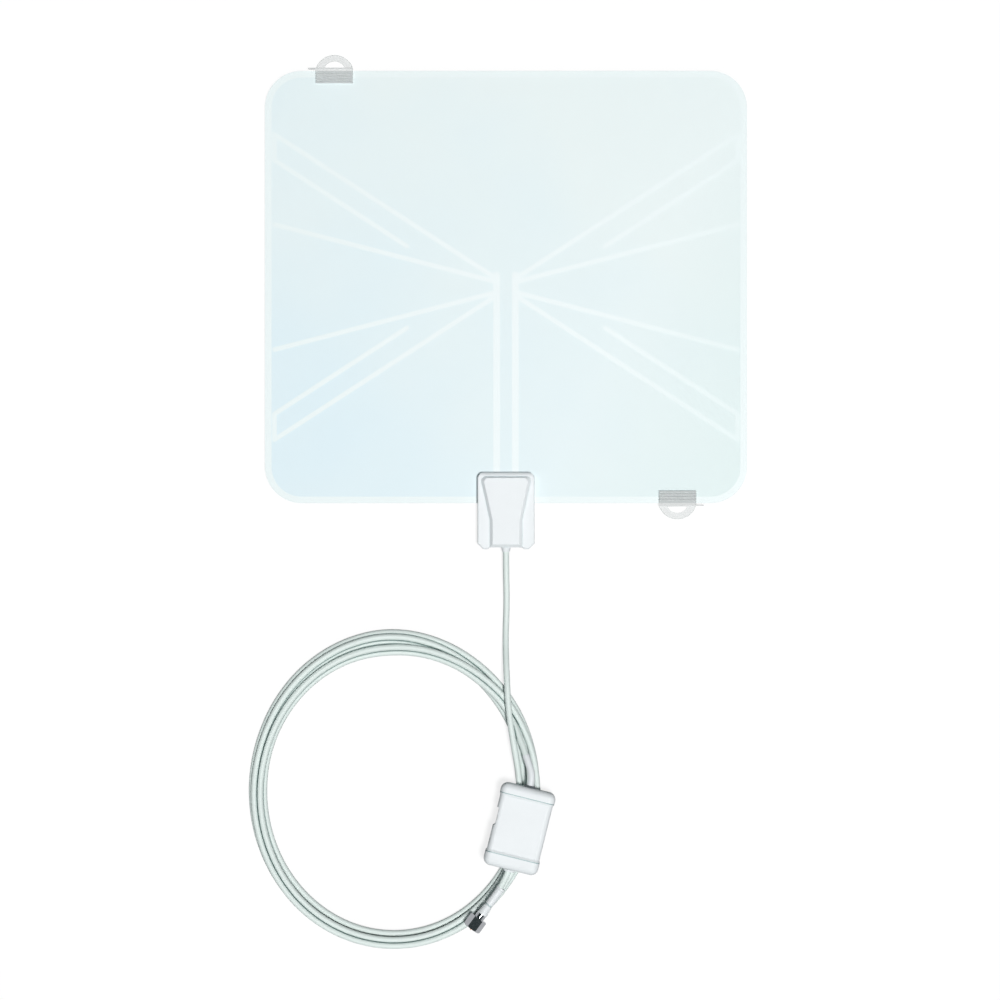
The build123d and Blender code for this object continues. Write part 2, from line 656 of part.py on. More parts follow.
def amp_gland(bore):
    """Collar in an end wall, in its own place: Z = 0 is the end face and +Z points outwards."""
    profile = [
        (bore, -AMP_WALL - GLAND_FLANGE),
        (GLAND_COLLAR, -AMP_WALL - GLAND_FLANGE),
        (GLAND_COLLAR, -AMP_WALL),
        (GLAND_HOLE, -AMP_WALL),
        (GLAND_HOLE, 0),
        (GLAND_COLLAR, 0),
        (GLAND_COLLAR_TIP, GLAND_COLLAR_LENGTH),
        (bore, GLAND_COLLAR_LENGTH),
    ]
    return turned(profile)


def amplifier_input_gland():
    return Plane(origin=AMP_INPUT, z_dir=AMP_AXIS) * amp_gland(BOOT_RADIUS)


def amplifier_output_gland():
    return Plane(origin=AMP_OUTPUT, z_dir=-AMP_AXIS) * amp_gland(CABLE_RADIUS)


def amplifier_input_boot():
    """Sleeve on the lead, from inside the input gland to where the lead runs free."""
    start = AMP_INPUT - AMP_AXIS * (AMP_WALL + GLAND_FLANGE)
    corner, onward = INPUT_ROUTE[1:3]
    first_run = (corner - AMP_INPUT).length
    end = corner + (onward - corner).normalized() * (BOOT_LENGTH - first_run)
    section = Circle(BOOT_RADIUS) - Circle(CABLE_RADIUS)
    return tube(section, [start, corner, end], corner_radii(INPUT_ROUTE)[:1])


def amplifier_board():
    board = Box(AMP_BOARD_WIDTH, AMP_BOARD_LENGTH, AMP_BOARD)
    return amp_place() * Pos(0, 0, AMP_BOARD_BOTTOM + AMP_BOARD / 2) * board


def amplifier_shield_can():
    can = Box(CAN_WIDTH, CAN_LENGTH, CAN_HEIGHT)
    hollow = Box(CAN_WIDTH - 2 * CAN_SHEET, CAN_LENGTH - 2 * CAN_SHEET, CAN_HEIGHT)
    can -= Pos(0, 0, -CAN_SHEET) * hollow
    return amp_place() * Pos(CAN_OFFSET, 0, AMP_BOARD_TOP + CAN_HEIGHT / 2) * can


def socket_place():
    """Mouth of the power socket, at the floor of the port."""
    mouth = -AMP_WIDTH / 2 + AMP_WAIST + PORT_DEPTH
    return amp_place() * Pos(mouth, PORT_OFFSET, AMP_HEIGHT / 2)


def power_socket():
    shell = Box(SOCKET_DEPTH, SOCKET_WIDTH, SOCKET_HEIGHT)
    inside = Box(SOCKET_DEPTH, SOCKET_WIDTH - 2 * SOCKET_SHEET, SOCKET_HEIGHT - 2 * SOCKET_SHEET)
    shell -= Pos(-SOCKET_SHEET, 0, 0) * inside
    return socket_place() * Pos(SOCKET_DEPTH / 2, 0, 0) * shell


def power_socket_tongue():
    back = SOCKET_DEPTH - SOCKET_SHEET
    return socket_place() * Pos(back - TONGUE_LENGTH / 2, 0, 0) * Box(TONGUE_LENGTH, TONGUE_WIDTH, TONGUE)


# Connector, modelled along +Z from the start of its sleeve

def connector_place():
    return Plane(origin=CONNECTOR_START, z_dir=CONNECTOR_AXIS)


def connector_sleeve():
    """Strain relief in two sections, parted by a ring groove: the second one flares over the barrel."""
    lip = SLEEVE_RADIUS + SLEEVE_LIP
    waist = SLEEVE_RADIUS - SLEEVE_RING
    profile = [
        (CABLE_RADIUS, 0),
        (lip, 0),
        (lip, SLEEVE_LIP_LENGTH),
        (SLEEVE_RADIUS, SLEEVE_LIP_LENGTH + SLEEVE_LIP),
        (SLEEVE_RADIUS, SLEEVE_LENGTH - SLEEVE_RING_LENGTH),
        (waist, SLEEVE_LENGTH - SLEEVE_RING_LENGTH),
        (waist, SLEEVE_LENGTH - SLEEVE_RING),
        (SLEEVE_RADIUS, SLEEVE_LENGTH),
        (FLARE_RADIUS, FLARE_END),
        (BARREL_RADIUS, FLARE_END),
        (BARREL_RADIUS, SLEEVE_LENGTH),
        (CABLE_RADIUS, SLEEVE_LENGTH),
    ]
    return connector_place() * turned(profile)


def connector_body():
    """Barrel inside the sleeve, its collar, and the grooved post that carries the nut."""
    profile = [
        (INSULATOR_RADIUS, SLEEVE_LENGTH),
        (BARREL_RADIUS, SLEEVE_LENGTH),
        (BARREL_RADIUS, FLARE_END),
        (COLLAR_RADIUS, FLARE_END),
        (COLLAR_RADIUS, BARREL_END),
        (POST_NECK, BARREL_END),
        (POST_NECK, FLANGE_START),
        (POST_FLANGE, FLANGE_START),
        (POST_FLANGE, FLANGE_END),
        (INSULATOR_RADIUS, FLANGE_END),
    ]
    return connector_place() * turned(profile)


def connector_nut():
    """Hexagon coupling nut, with a lip that runs on the post and a bore for the mating thread."""
    corner = NUT_FLATS / 2 / cos(radians(30))
    nut = extrude(RegularPolygon(corner, 6), NUT_LENGTH)
    bevel = turned([
        (0, 0), (corner - NUT_CHAMFER, 0), (corner, NUT_CHAMFER),
        (corner, NUT_LENGTH - NUT_CHAMFER), (corner - NUT_CHAMFER, NUT_LENGTH), (0, NUT_LENGTH)])
    bores = turned([
        (0, 0), (POST_NECK + SPIN_CLEARANCE, 0), (POST_NECK + SPIN_CLEARANCE, NUT_LIP),
        (NUT_BORE, NUT_LIP), (NUT_BORE, NUT_LENGTH), (0, NUT_LENGTH)])
    return connector_place() * Pos(0, 0, NUT_START) * ((nut & bevel) - bores)


def connector_insulator():
    profile = [
        (PIN_RADIUS, SLEEVE_LENGTH), (INSULATOR_RADIUS, SLEEVE_LENGTH),
        (INSULATOR_RADIUS, FLANGE_END), (PIN_RADIUS, FLANGE_END)]
    return connector_place() * turned(profile)


def connector_pin():
    tip = NUT_START + NUT_LENGTH + PIN_PROUD
    return connector_place() * turned([
        (0, SLEEVE_LENGTH), (PIN_RADIUS, SLEEVE_LENGTH), (PIN_RADIUS, tip - PIN_RADIUS),
        (PIN_TIP_RADIUS, tip), (0, tip)])


coil = cable_coil()
right_foil = right_radiator()
nodes = {
    "rear_film": rear_film(),
    "front_film": front_film(),
    "right_radiator": right_foil,
    "left_radiator": mirror(right_foil, about=Plane.YZ),
    "hang_tab_top": hang_tab_top(),
    "hang_tab_bottom": hang_tab_bottom(),
    "housing_front_cover": housing_front_cover(),
    "housing_rear_cover": housing_rear_cover(),
    "cable_grommet": cable_grommet(),
    "matching_board": matching_board(),
    "feed_contact_left": feed_contact(-1),
    "feed_contact_right": feed_contact(1),
    "balun_core": balun_core(),
    "balun_winding": balun_winding(),
    "cable_core": cable_core(),
    "feed_cable": cable(FEED_ROUTE, "feed cable") - coil,
    "cable_coil": coil,
    "amplifier_input_lead": split(cable(INPUT_ROUTE, "input lead"), Plane.XY.offset(COIL_HEIGHT)),
    "amplifier_input_boot": amplifier_input_boot(),
    "amplifier_input_gland": amplifier_input_gland(),
    "amplifier_output_gland": amplifier_output_gland(),
    "amplifier_top_shell": amplifier_top_shell(),
    "amplifier_bottom_shell": amplifier_bottom_shell(),
    "amplifier_board": amplifier_board(),
    "amplifier_shield_can": amplifier_shield_can(),
    "power_socket": power_socket(),
    "power_socket_tongue": power_socket_tongue(),
    "connector_lead": cable(TAIL_ROUTE, "connector lead"),
    "connector_sleeve": connector_sleeve(),
    "connector_body": connector_body(),
    "connector_nut": connector_nut(),
    "connector_insulator": connector_insulator(),
    "connector_pin": connector_pin(),
}

os.makedirs("parts", exist_ok=True)
for name, shape in nodes.items():
    export_step(shape, f"parts/{name}.step")
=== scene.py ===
from math import cos, radians, sin
import bpy
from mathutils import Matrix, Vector


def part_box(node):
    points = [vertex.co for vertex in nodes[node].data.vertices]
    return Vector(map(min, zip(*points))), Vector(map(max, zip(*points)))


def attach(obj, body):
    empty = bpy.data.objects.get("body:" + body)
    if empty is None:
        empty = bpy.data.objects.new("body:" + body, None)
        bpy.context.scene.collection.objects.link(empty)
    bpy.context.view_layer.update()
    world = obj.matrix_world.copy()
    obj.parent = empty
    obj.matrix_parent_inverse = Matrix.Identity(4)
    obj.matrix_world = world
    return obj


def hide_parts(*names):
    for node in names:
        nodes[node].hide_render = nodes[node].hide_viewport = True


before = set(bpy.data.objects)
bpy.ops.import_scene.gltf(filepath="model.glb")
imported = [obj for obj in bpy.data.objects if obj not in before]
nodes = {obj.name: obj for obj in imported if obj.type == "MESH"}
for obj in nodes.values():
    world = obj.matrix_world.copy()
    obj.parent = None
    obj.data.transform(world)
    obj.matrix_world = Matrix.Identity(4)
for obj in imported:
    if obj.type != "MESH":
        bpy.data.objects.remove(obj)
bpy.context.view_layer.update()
MM = 0.001

# Camera: it looks straight down and sees 684.6 mm of the object across the picture
VIEW_CENTRE = Vector((-4.1, 7.3, 3.0)) * MM
VIEW_WIDTH = 684.6 * MM
LENS = 135.0
SENSOR = 36.0

# Light: a soft sky that is bright at the foot of the picture and dim at its head, between two places on the
# Y axis of the sky's unit sphere, and a soft lamp high up, turned from the picture's foot towards the right
SKY_FOOT = (0.38, 0.41, 0.41, 1.0)
SKY_HEAD = (0.04, 0.06, 0.06, 1.0)
SKY_FOOT_PLACE = -0.9
SKY_HEAD_PLACE = -0.1
KEY_COLOUR = (1.0, 0.985, 0.985)
KEY_STRENGTH = 2.66
KEY_SPREAD = 11.0
KEY_ELEVATION = 79.5
KEY_TURN = 53.0

# Stage: a pale floor just under the object, and a white backdrop low in the sky, which fades out between
# two heights on the sky's unit sphere
FLOOR_SIZE = 24.0
FLOOR_LEVEL = -0.1 * MM
FLOOR_COLOUR = (0.22, 0.22, 0.22, 1.0)
FLOOR_BOUNCE = (0.03, 0.04, 0.04, 1.0)
FLOOR_GLOW = 0.8
FLOOR_ROUGHNESS = 0.9
FIBRE_SHADE = 0.995
BACKDROP_WHOLE = 0.3
BACKDROP_TOP = 0.5
PURE_WHITE = (1.0, 1.0, 1.0, 1.0)

# Coax lead: thickness in millimetres, and smoothness
CABLE = 4.2
ROUND_STEPS = 8
LENGTH_STEPS = 8
SPLINE_ORDER = 3

# Housing end of the lead, in millimetres: its height, and along Y its start inside the housing and the end
# of its straight run
EXIT_HEIGHT = 6.2
LEAD_START = -19.1
RUN_OUT_END = -39.1

# Amplifier, in millimetres: middle of its body, half its length, its turn from the +Y direction, and how far
# the lead and the tail reach into it and run straight on outside it
AMP_MIDDLE = Vector((9.2, -216.5, 15.4))
AMP_REACH = 28.8
AMP_TURN = radians(14.0)
AMP_AXIS = Vector((sin(AMP_TURN), cos(AMP_TURN), 0.0))
AMP_INPUT = AMP_MIDDLE + AMP_AXIS * AMP_REACH
AMP_OUTPUT = AMP_MIDDLE - AMP_AXIS * AMP_REACH
INPUT_INSIDE = 6.5
INPUT_RUN = 8.0
TAIL_INSIDE = 5.0
TAIL_RUN = 8.0

# Connector: its direction, and how far the tail reaches from its bend, in millimetres
CONNECTOR_TURN = AMP_TURN + radians(22.5)
CONNECTOR_AXIS = Vector((-sin(CONNECTOR_TURN), -cos(CONNECTOR_TURN), 0.0))
TAIL_TO_SLEEVE_END = 21.0

# Routes of the free stretches, in millimetres
FEED_ROUTE = [
    Vector((0.0, LEAD_START, EXIT_HEIGHT)),
    Vector((0.0, RUN_OUT_END, EXIT_HEIGHT)),
    Vector((0.6, -62.0, 2.3)),
    Vector((-0.4, -88.0, 2.2)),
    Vector((0.4, -112.0, 10.6)),
    Vector((1.6, -136.0, 12.0)),
    Vector((5.2, -160.0, 11.0)),
    Vector((9.4, -184.0, 5.0)),
]
INPUT_ROUTE = [
    AMP_INPUT - AMP_AXIS * INPUT_INSIDE,
    AMP_INPUT + AMP_AXIS * INPUT_RUN,
    Vector((10.9, -159.0, 11.4)),
    Vector((4.6, -143.6, 6.4)),
    Vector((-2.0, -132.5, 5.8)),
    Vector((-10.4, -123.2, 5.8)),
]
TAIL_CORNER = AMP_OUTPUT - AMP_AXIS * TAIL_RUN
TAIL_ROUTE = [
    AMP_OUTPUT + AMP_AXIS * TAIL_INSIDE,
    TAIL_CORNER,
    TAIL_CORNER + CONNECTOR_AXIS * TAIL_TO_SLEEVE_END,
]

# Coil, in millimetres and degrees: an oval middle line, and where each turn lies beside it and above the
# table. Angles fall as the lead runs clockwise. Each turn gives (outward offset, height) at these angles,
# and the last turn ends early, where the lead leaves for the amplifier.
COIL_CENTRE = Vector((-76.7, -191.9, 0.0))
COIL_HALF_WIDTH = 93.1
COIL_HALF_LENGTH = 101.7
COIL_STEP = 10.0
FULL_TURN = 360
TURN_ANGLES = (-14, -30, -70, -135, -200, -268, -282, -297, -310, -322, -335, -348, -358)
TURNS = [
    [(-4.8, 6.2), (-2.1, 5.7), (-0.3, 6.3), (-0.3, 6.3), (-2.3, 5.7), (-3.5, 5.0), (-2.4, 5.6),
     (-1.2, 6.4), (0.6, 6.4), (2.8, 5.8), (3.9, 6.0), (4.9, 6.3), (4.8, 6.0)],
    [(6.0, 3.6), (4.2, 2.1), (4.2, 2.1), (4.2, 2.1), (4.2, 2.1), (7.2, 2.1), (6.3, 2.1),
     (5.6, 2.1), (5.3, 2.1), (5.4, 2.1), (5.2, 2.1), (5.0, 2.1), (4.6, 2.1)],
    [(2.6, 4.0), (2.1, 5.7), (3.9, 6.3), (3.9, 6.3), (2.1, 5.7), (4.3, 5.1), (3.2, 4.2),
     (1.9, 2.6), (1.0, 2.1), (0.9, 2.1), (0.8, 2.1), (0.8, 2.1), (0.4, 2.1)],
    [(-0.4, 2.1), (0.0, 2.1), (0.0, 2.1), (0.0, 2.1), (0.0, 2.1), (0.6, 2.1), (-0.6, 2.1),
     (-1.8, 2.1), (-3.3, 2.1), (-3.5, 2.1), (-3.5, 2.1), (-3.5, 2.1), (-3.8, 2.1)],
    [(-4.4, 2.1), (-4.2, 2.1), (-4.2, 2.1), (-4.2, 2.1), (-4.2, 2.1), (-7.2, 2.1), (-6.0, 2.8),
     (-4.6, 4.8), (-3.0, 5.9)],
]

# Colours of the sheet: milky film with two tinted corners and a sealed rim, and the strips in it
MILKY = (0.835, 0.910, 0.912, 1.0)
MILKY_BLUE = (0.74, 0.875, 0.935, 1.0)
MILKY_GREEN = (0.735, 0.85, 0.845, 1.0)
RIM_WHITE = (0.87, 0.940, 0.945, 1.0)
FOIL_WHITE = (0.870, 0.932, 0.942, 1.0)
FOIL_THIN = (0.848, 0.922, 0.928, 1.0)
FOIL_GREEN = (0.77, 0.871, 0.871, 1.0)

# Colours of the hang tabs, and of the painted shade in their hollows and between their jaws
TAB_GREY = (0.85, 0.88, 0.88, 1.0)
TAB_PALE = (0.90, 0.92, 0.92, 1.0)
TAB_PAINTED_SHADE = (0.36, 0.46, 0.46, 1.0)

# Colours of the housing, the amplifier, the lead and the connector
WHITE = (0.86, 0.895, 0.915, 1.0)
JACKET = (0.785, 0.87, 0.842, 1.0)
# Painted shadow: the amplifier's input gland is dark grey to stand in for the shade where the lead enters
PAINTED_SHADOW_GREY = (0.10, 0.12, 0.13, 1.0)
BOARD_GREEN = (0.05, 0.22, 0.10, 1.0)
FERRITE = (0.05, 0.05, 0.055, 1.0)
INSULATOR = (0.85, 0.86, 0.84, 1.0)
COPPER = (0.80, 0.45, 0.28, 1.0)
BRONZE = (0.75, 0.55, 0.32, 1.0)
TIN = (0.60, 0.61, 0.62, 1.0)
NICKEL = (0.36, 0.37, 0.39, 1.0)
COLLAR_SHADE = 0.97

# Grain of plastic and metal, and painted shade in the recesses of plastic: its tint, its reach and the
# occlusion levels over which it fades in
NOISE_LOW = 0.3
NOISE_HIGH = 0.7
NOISE_ROUGHNESS = 0.55
PAINTED_SHADE_TINT = (0.62, 0.97, 0.95)
PAINTED_SHADE_REACH = 1.5 * MM
CREVICE_SAMPLES = 8
CREVICE_DEEP = 0.3
CREVICE_OPEN = 0.95
PLASTIC_MOTTLE = 0.03
PLASTIC_UNEVEN = 0.06
PLASTIC_DEPTH = 0.1 * MM
METAL_DARK = 0.9
METAL_PALE = 1.08
METAL_UNEVEN = 0.3
METAL_GRAIN = 1500.0
METAL_RELIEF = 0.03
METAL_DEPTH = 0.02 * MM

# Sheet: its corners, its rim and where its tints begin and end, in metres, and how strong its tints, grain
# and ripples are
SHEET_CORNER = 25.0 * MM
SHEET_RIM = 4.5 * MM
RIM_SOFTNESS = 0.2 * MM
BLUE_WHOLE = -0.10
BLUE_END = 0.30
BLUE_SHARE = 0.85
CLOUD_SHARE = 0.25
GREEN_SLOPE = -0.5
GREEN_START = 0.02
GREEN_WHOLE = 0.15
FOIL_WHITE_END = 0.02
FOIL_THIN_START = 0.16
RIPPLE_DEPTH = 2.0 * MM
FRONT_ALPHA = 0.06
FRONT_MOTTLE = 0.01
FOIL_MOTTLE = 0.015
FOIL_DEPTH = 0.1 * MM

# Hang tabs: how dense they look face on and edge on, the reach of the painted shade in their hollows, and
# the depth of their swirls
TAB_FACE = 0.05
TAB_EDGE = 0.6
TAB_FACE_ALPHA = 0.36
TAB_EDGE_ALPHA = 0.90
TAB_PAINTED_SHADE_REACH = 0.4 * MM
TAB_DEPTH = 0.3 * MM


# Materials

def add(tree, kind, inputs=None, **settings):
    """Adds a shader node. Inputs are numbers, colours or the sockets that they are linked from."""
    made = tree.nodes.new("ShaderNode" + kind)
    for name, value in settings.items():
        setattr(made, name, value)
    for name, value in (inputs or {}).items():
        if isinstance(value, bpy.types.NodeSocket):
            tree.links.new(value, made.inputs[name])
        else:
            made.inputs[name].default_value = value
    return made


def compute(tree, operation, *values, clamp=False):
    """Result of an operation on numbers."""
    made = add(tree, "Math", dict(enumerate(values)), operation=operation, use_clamp=clamp)
    return made.outputs[0]


def compute_vector(tree, operation, *values):
    """Result of an operation on vectors."""
    made = add(tree, "VectorMath", dict(enumerate(values)), operation=operation)
    return made.outputs[0]


def split(tree, vector):
    """The three numbers of a vector."""
    return add(tree, "SeparateXYZ", {0: vector}).outputs


def start_material(name):
    """Plain new material. Returns the material, its tree, its shader and the places on the surface."""
    material = bpy.data.materials.new(name)
    material.use_nodes = True
    tree = material.node_tree
    shader = tree.nodes["Principled BSDF"]
    places = add(tree, "TexCoord").outputs["Object"]
    return material, tree, shader, places


def noise(tree, places, scale, detail):
    """Soft random patches, with the scale as their number in a metre."""
    inputs = {"Vector": places, "Scale": scale, "Detail": detail, "Roughness": NOISE_ROUGHNESS}
    return add(tree, "TexNoise", inputs).outputs["Fac"]


def ramp(tree, value, low, high, start, end):
    """Runs straight from start to end while the value goes from low to high, and holds still outside."""
    inputs = {"Value": value, "From Min": low, "From Max": high, "To Min": start, "To Max": end}
    return add(tree, "MapRange", inputs).outputs["Result"]


def blend_colours(tree, factor, first, second):
    """The first colour at nought, the second at one, and a mixture between."""
    made = add(tree, "Mix", {"Factor": factor}, data_type="RGBA")
    colour_inputs = [socket for socket in made.inputs if socket.type == "RGBA"]
    for socket, value in zip(colour_inputs, (first, second)):
        if isinstance(value, bpy.types.NodeSocket):
            tree.links.new(value, socket)
        else:
            socket.default_value = value
    return next(socket for socket in made.outputs if socket.type == "RGBA")


def set_bump(tree, shader, height, strength, distance):
    """Fine relief on the shader's surface."""
    bump = add(tree, "Bump", {"Height": height, "Strength": strength, "Distance": distance})
    tree.links.new(bump.outputs["Normal"], shader.inputs["Normal"])


def shade(colour, factor):
    """The colour made darker or paler, no paler than white."""
    return tuple(min(1.0, part * factor) for part in colour[:3]) + (1.0,)


def painted_shade_mask(tree, reach):
    """Painted shade mask: nought on open surface, one in each groove and between touching strands, by
    occlusion.
    """
    near = add(tree, "AmbientOcclusion", {"Distance": reach}, samples=CREVICE_SAMPLES, only_local=True)
    return ramp(tree, near.outputs["AO"], CREVICE_DEEP, CREVICE_OPEN, 1.0, 0.0)


def plastic(name, colour, roughness, grain=900.0, relief=0.12, painted_shade_level=0.55):
    """Moulded plastic: a faint mottle of its colour, a fine eroded grain and darker, greener painted shade
    in recesses.
    """
    material, tree, shader, places = start_material(name)
    patches = noise(tree, places, scale=60.0, detail=3.0)
    tone = blend_colours(tree, patches, shade(colour, 1 - PLASTIC_MOTTLE), shade(colour, 1 + PLASTIC_MOTTLE))
    # Painted shade: a darker, greener copy of the colour, blended in where the surface is occluded
    painted_shade_colour = tuple(part * share for part, share in zip(colour, PAINTED_SHADE_TINT))
    tone = blend_colours(tree, painted_shade_mask(tree, PAINTED_SHADE_REACH), tone, shade(painted_shade_colour, painted_shade_level))
    tree.links.new(tone, shader.inputs["Base Color"])
    fine = noise(tree, places, scale=grain, detail=5.0)
    polish = ramp(tree, fine, NOISE_LOW, NOISE_HIGH, roughness - PLASTIC_UNEVEN, roughness + PLASTIC_UNEVEN)
    tree.links.new(polish, shader.inputs["Roughness"])
    set_bump(tree, shader, fine, relief, PLASTIC_DEPTH)
    return material


def metal(name, colour, roughness):
    """Plated or drawn metal with fine uneven polish."""
    material, tree, shader, places = start_material(name)
    patches = noise(tree, places, scale=220.0, detail=4.0)
    tone = blend_colours(tree, patches, shade(colour, METAL_DARK), shade(colour, METAL_PALE))
    tree.links.new(tone, shader.inputs["Base Color"])
    shader.inputs["Metallic"].default_value = 1.0
    fine = noise(tree, places, scale=METAL_GRAIN, detail=4.0)
    smooth = roughness * (1 - METAL_UNEVEN)
    rough = roughness * (1 + METAL_UNEVEN)
    tree.links.new(ramp(tree, fine, NOISE_LOW, NOISE_HIGH, smooth, rough), shader.inputs["Roughness"])
    set_bump(tree, shader, fine, METAL_RELIEF, METAL_DEPTH)
    return material


def dress(material, *names):
    """Gives solids a material in place of their own."""
    for name in names:
        slots = nodes[name].data.materials
        slots.clear()
        slots.append(material)


# Sheet

def rim_mask(tree, places):
    """One on the sealed rim of the sheet and nought inside it, from the distance to the rounded outline."""
    low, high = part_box("front_film")
    centre = ((low[0] + high[0]) / 2, (low[1] + high[1]) / 2, 0.0)
    inner = ((high[0] - low[0]) / 2 - SHEET_CORNER, (high[1] - low[1]) / 2 - SHEET_CORNER, 0.0)
    flat = compute_vector(tree, "MULTIPLY", places, (1.0, 1.0, 0.0))
    away = compute_vector(tree, "SUBTRACT", flat, centre)
    size = compute_vector(tree, "ABSOLUTE", away)
    over = compute_vector(tree, "SUBTRACT", size, inner)
    outside = compute_vector(tree, "MAXIMUM", over, (0.0, 0.0, 0.0))
    reach = add(tree, "VectorMath", {0: outside}, operation="LENGTH").outputs["Value"]
    x, y = split(tree, over)[:2]
    within = compute(tree, "MINIMUM", compute(tree, "MAXIMUM", x, y), 0.0)
    distance = compute(tree, "ADD", reach, within)
    edge = SHEET_CORNER - SHEET_RIM
    return ramp(tree, distance, edge - RIM_SOFTNESS, edge + RIM_SOFTNESS, 0.0, 1.0)


def green_corner(tree, places):
    """Nought over most of the sheet, rising to one at its lower right corner."""
    x, y = split(tree, places)[:2]
    slant = compute(tree, "MULTIPLY_ADD", y, GREEN_SLOPE, x)
    return ramp(tree, slant, GREEN_START, GREEN_WHOLE, 0.0, 1.0)


def rear_film_material():
    """Milky film: bluer towards the lower left, greener towards the lower right, with a paler sealed rim."""
    material, tree, shader, places = start_material("milky_film")
    x, y = split(tree, places)[:2]
    blue = ramp(tree, compute(tree, "ADD", x, y), BLUE_WHOLE, BLUE_END, BLUE_SHARE, 0.0)
    cloud = noise(tree, places, scale=7.0, detail=2.0)
    drift = ramp(tree, cloud, NOISE_LOW, NOISE_HIGH, -CLOUD_SHARE, CLOUD_SHARE)
    tone = blend_colours(tree, compute(tree, "ADD", blue, drift, clamp=True), MILKY, MILKY_BLUE)
    tone = blend_colours(tree, green_corner(tree, places), tone, MILKY_GREEN)
    tone = blend_colours(tree, rim_mask(tree, places), tone, RIM_WHITE)
    tree.links.new(tone, shader.inputs["Base Color"])
    shader.inputs["Roughness"].default_value = 0.5
    set_bump(tree, shader, cloud, 0.05, RIPPLE_DEPTH)
    return material


def front_film_material():
    """Clear glossy film with faint ripples, which lets the strips show through."""
    material, tree, shader, places = start_material("clear_film")
    cloud = noise(tree, places, scale=9.0, detail=2.0)
    tone = blend_colours(tree, cloud, shade(MILKY, 1 - FRONT_MOTTLE), shade(MILKY, 1 + FRONT_MOTTLE))
    tree.links.new(tone, shader.inputs["Base Color"])
    shader.inputs["Alpha"].default_value = FRONT_ALPHA
    shader.inputs["Roughness"].default_value = 0.25
    set_bump(tree, shader, cloud, 0.06, RIPPLE_DEPTH)
    return material


def foil_material():
    """Pale conductive strip with a fine grain, thinner and less white towards the ends of its arms."""
    material, tree, shader, places = start_material("radiator_foil")
    grain = noise(tree, places, scale=400.0, detail=3.0)
    white, thin = (blend_colours(tree, grain, shade(colour, 1 - FOIL_MOTTLE), shade(colour, 1 + FOIL_MOTTLE))
                   for colour in (FOIL_WHITE, FOIL_THIN))
    x = split(tree, places)[0]
    thinness = ramp(tree, compute(tree, "ABSOLUTE", x), FOIL_WHITE_END, FOIL_THIN_START, 0.0, 1.0)
    tone = blend_colours(tree, thinness, white, thin)
    tone = blend_colours(tree, green_corner(tree, places), tone, FOIL_GREEN)
    tree.links.new(tone, shader.inputs["Base Color"])
    shader.inputs["Roughness"].default_value = 0.45
    set_bump(tree, shader, grain, 0.05, FOIL_DEPTH)
    return material


def tab_material():
    """Clear moulded plastic, faintly grey, denser to the eye at its edges and on the flanks of its ribs,
    with painted shade in its hollows.
    """
    material, tree, shader, places = start_material("clear_tab")
    swirl = noise(tree, places, scale=120.0, detail=3.0)
    tone = blend_colours(tree, swirl, TAB_GREY, TAB_PALE)
    # Painted shade in the tab's hollows and between its jaws
    tone = blend_colours(tree, painted_shade_mask(tree, TAB_PAINTED_SHADE_REACH), tone, TAB_PAINTED_SHADE)
    tree.links.new(tone, shader.inputs["Base Color"])
    facing = add(tree, "LayerWeight", {"Blend": 0.5}).outputs["Facing"]
    density = ramp(tree, facing, TAB_FACE, TAB_EDGE, TAB_FACE_ALPHA, TAB_EDGE_ALPHA)
    tree.links.new(density, shader.inputs["Alpha"])
    shader.inputs["Roughness"].default_value = 0.08
    set_bump(tree, shader, swirl, 0.05, TAB_DEPTH)
    return material


# Lead

def coil_point(angle, offset, height):
    """Point of the coil at an angle, set outwards from the middle line.

    The line is stretched a little, because the spline runs inside its points.
    """
    turn = radians(angle)
    stretch = 1 / cos(radians(COIL_STEP / 2))
    outward = Vector((cos(turn) / COIL_HALF_WIDTH, sin(turn) / COIL_HALF_LENGTH, 0.0)).normalized()
    middle = Vector((COIL_HALF_WIDTH * cos(turn), COIL_HALF_LENGTH * sin(turn), 0.0)) * stretch
    return COIL_CENTRE + middle + outward * offset + Vector((0.0, 0.0, height))


def coil_points():
    """The turns one after another, each read off between the angles where its place is given."""
    points = []
    for number, turn in enumerate(TURNS):
        stations = list(zip(TURN_ANGLES, turn))
        if number + 1 < len(TURNS):
            stations.append((TURN_ANGLES[0] - FULL_TURN, TURNS[number + 1][0]))
        angle = stations[0][0]
        for (start, here), (end, there) in zip(stations, stations[1:]):
            while angle > end:
                share = (start - angle) / (start - end)
                offset = here[0] + (there[0] - here[0]) * share
                height = here[1] + (there[1] - here[1]) * share
                points.append(coil_point(angle, offset, height))
                angle -= COIL_STEP
    return points


def lead(name, points):
    """Round cable along one smooth spline through given places."""
    curve = bpy.data.curves.new(name, "CURVE")
    curve.dimensions = "3D"
    curve.bevel_depth = CABLE / 2 * MM
    curve.bevel_resolution = ROUND_STEPS
    curve.resolution_u = LENGTH_STEPS
    curve.use_fill_caps = True
    spline = curve.splines.new("NURBS")
    spline.points.add(len(points) - 1)
    for point, place in zip(spline.points, points):
        point.co = (*(place * MM), 1.0)
    spline.order_u = SPLINE_ORDER
    spline.use_endpoint_u = True
    piece = bpy.data.objects.new(name, curve)
    bpy.context.scene.collection.objects.link(piece)
    return piece


def build_leads(jacket):
    """The long lead with its coil and the amplifier at its end, and the tail with the connector."""
    main = lead("coax_lead", FEED_ROUTE + coil_points() + INPUT_ROUTE[::-1])
    tail = lead("coax_tail", TAIL_ROUTE)
    for piece in (main, tail):
        piece.data.materials.append(jacket)
        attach(piece, "antenna")
    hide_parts("feed_cable", "cable_coil", "amplifier_input_lead")
    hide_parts("connector_lead")


# Stage, light and camera

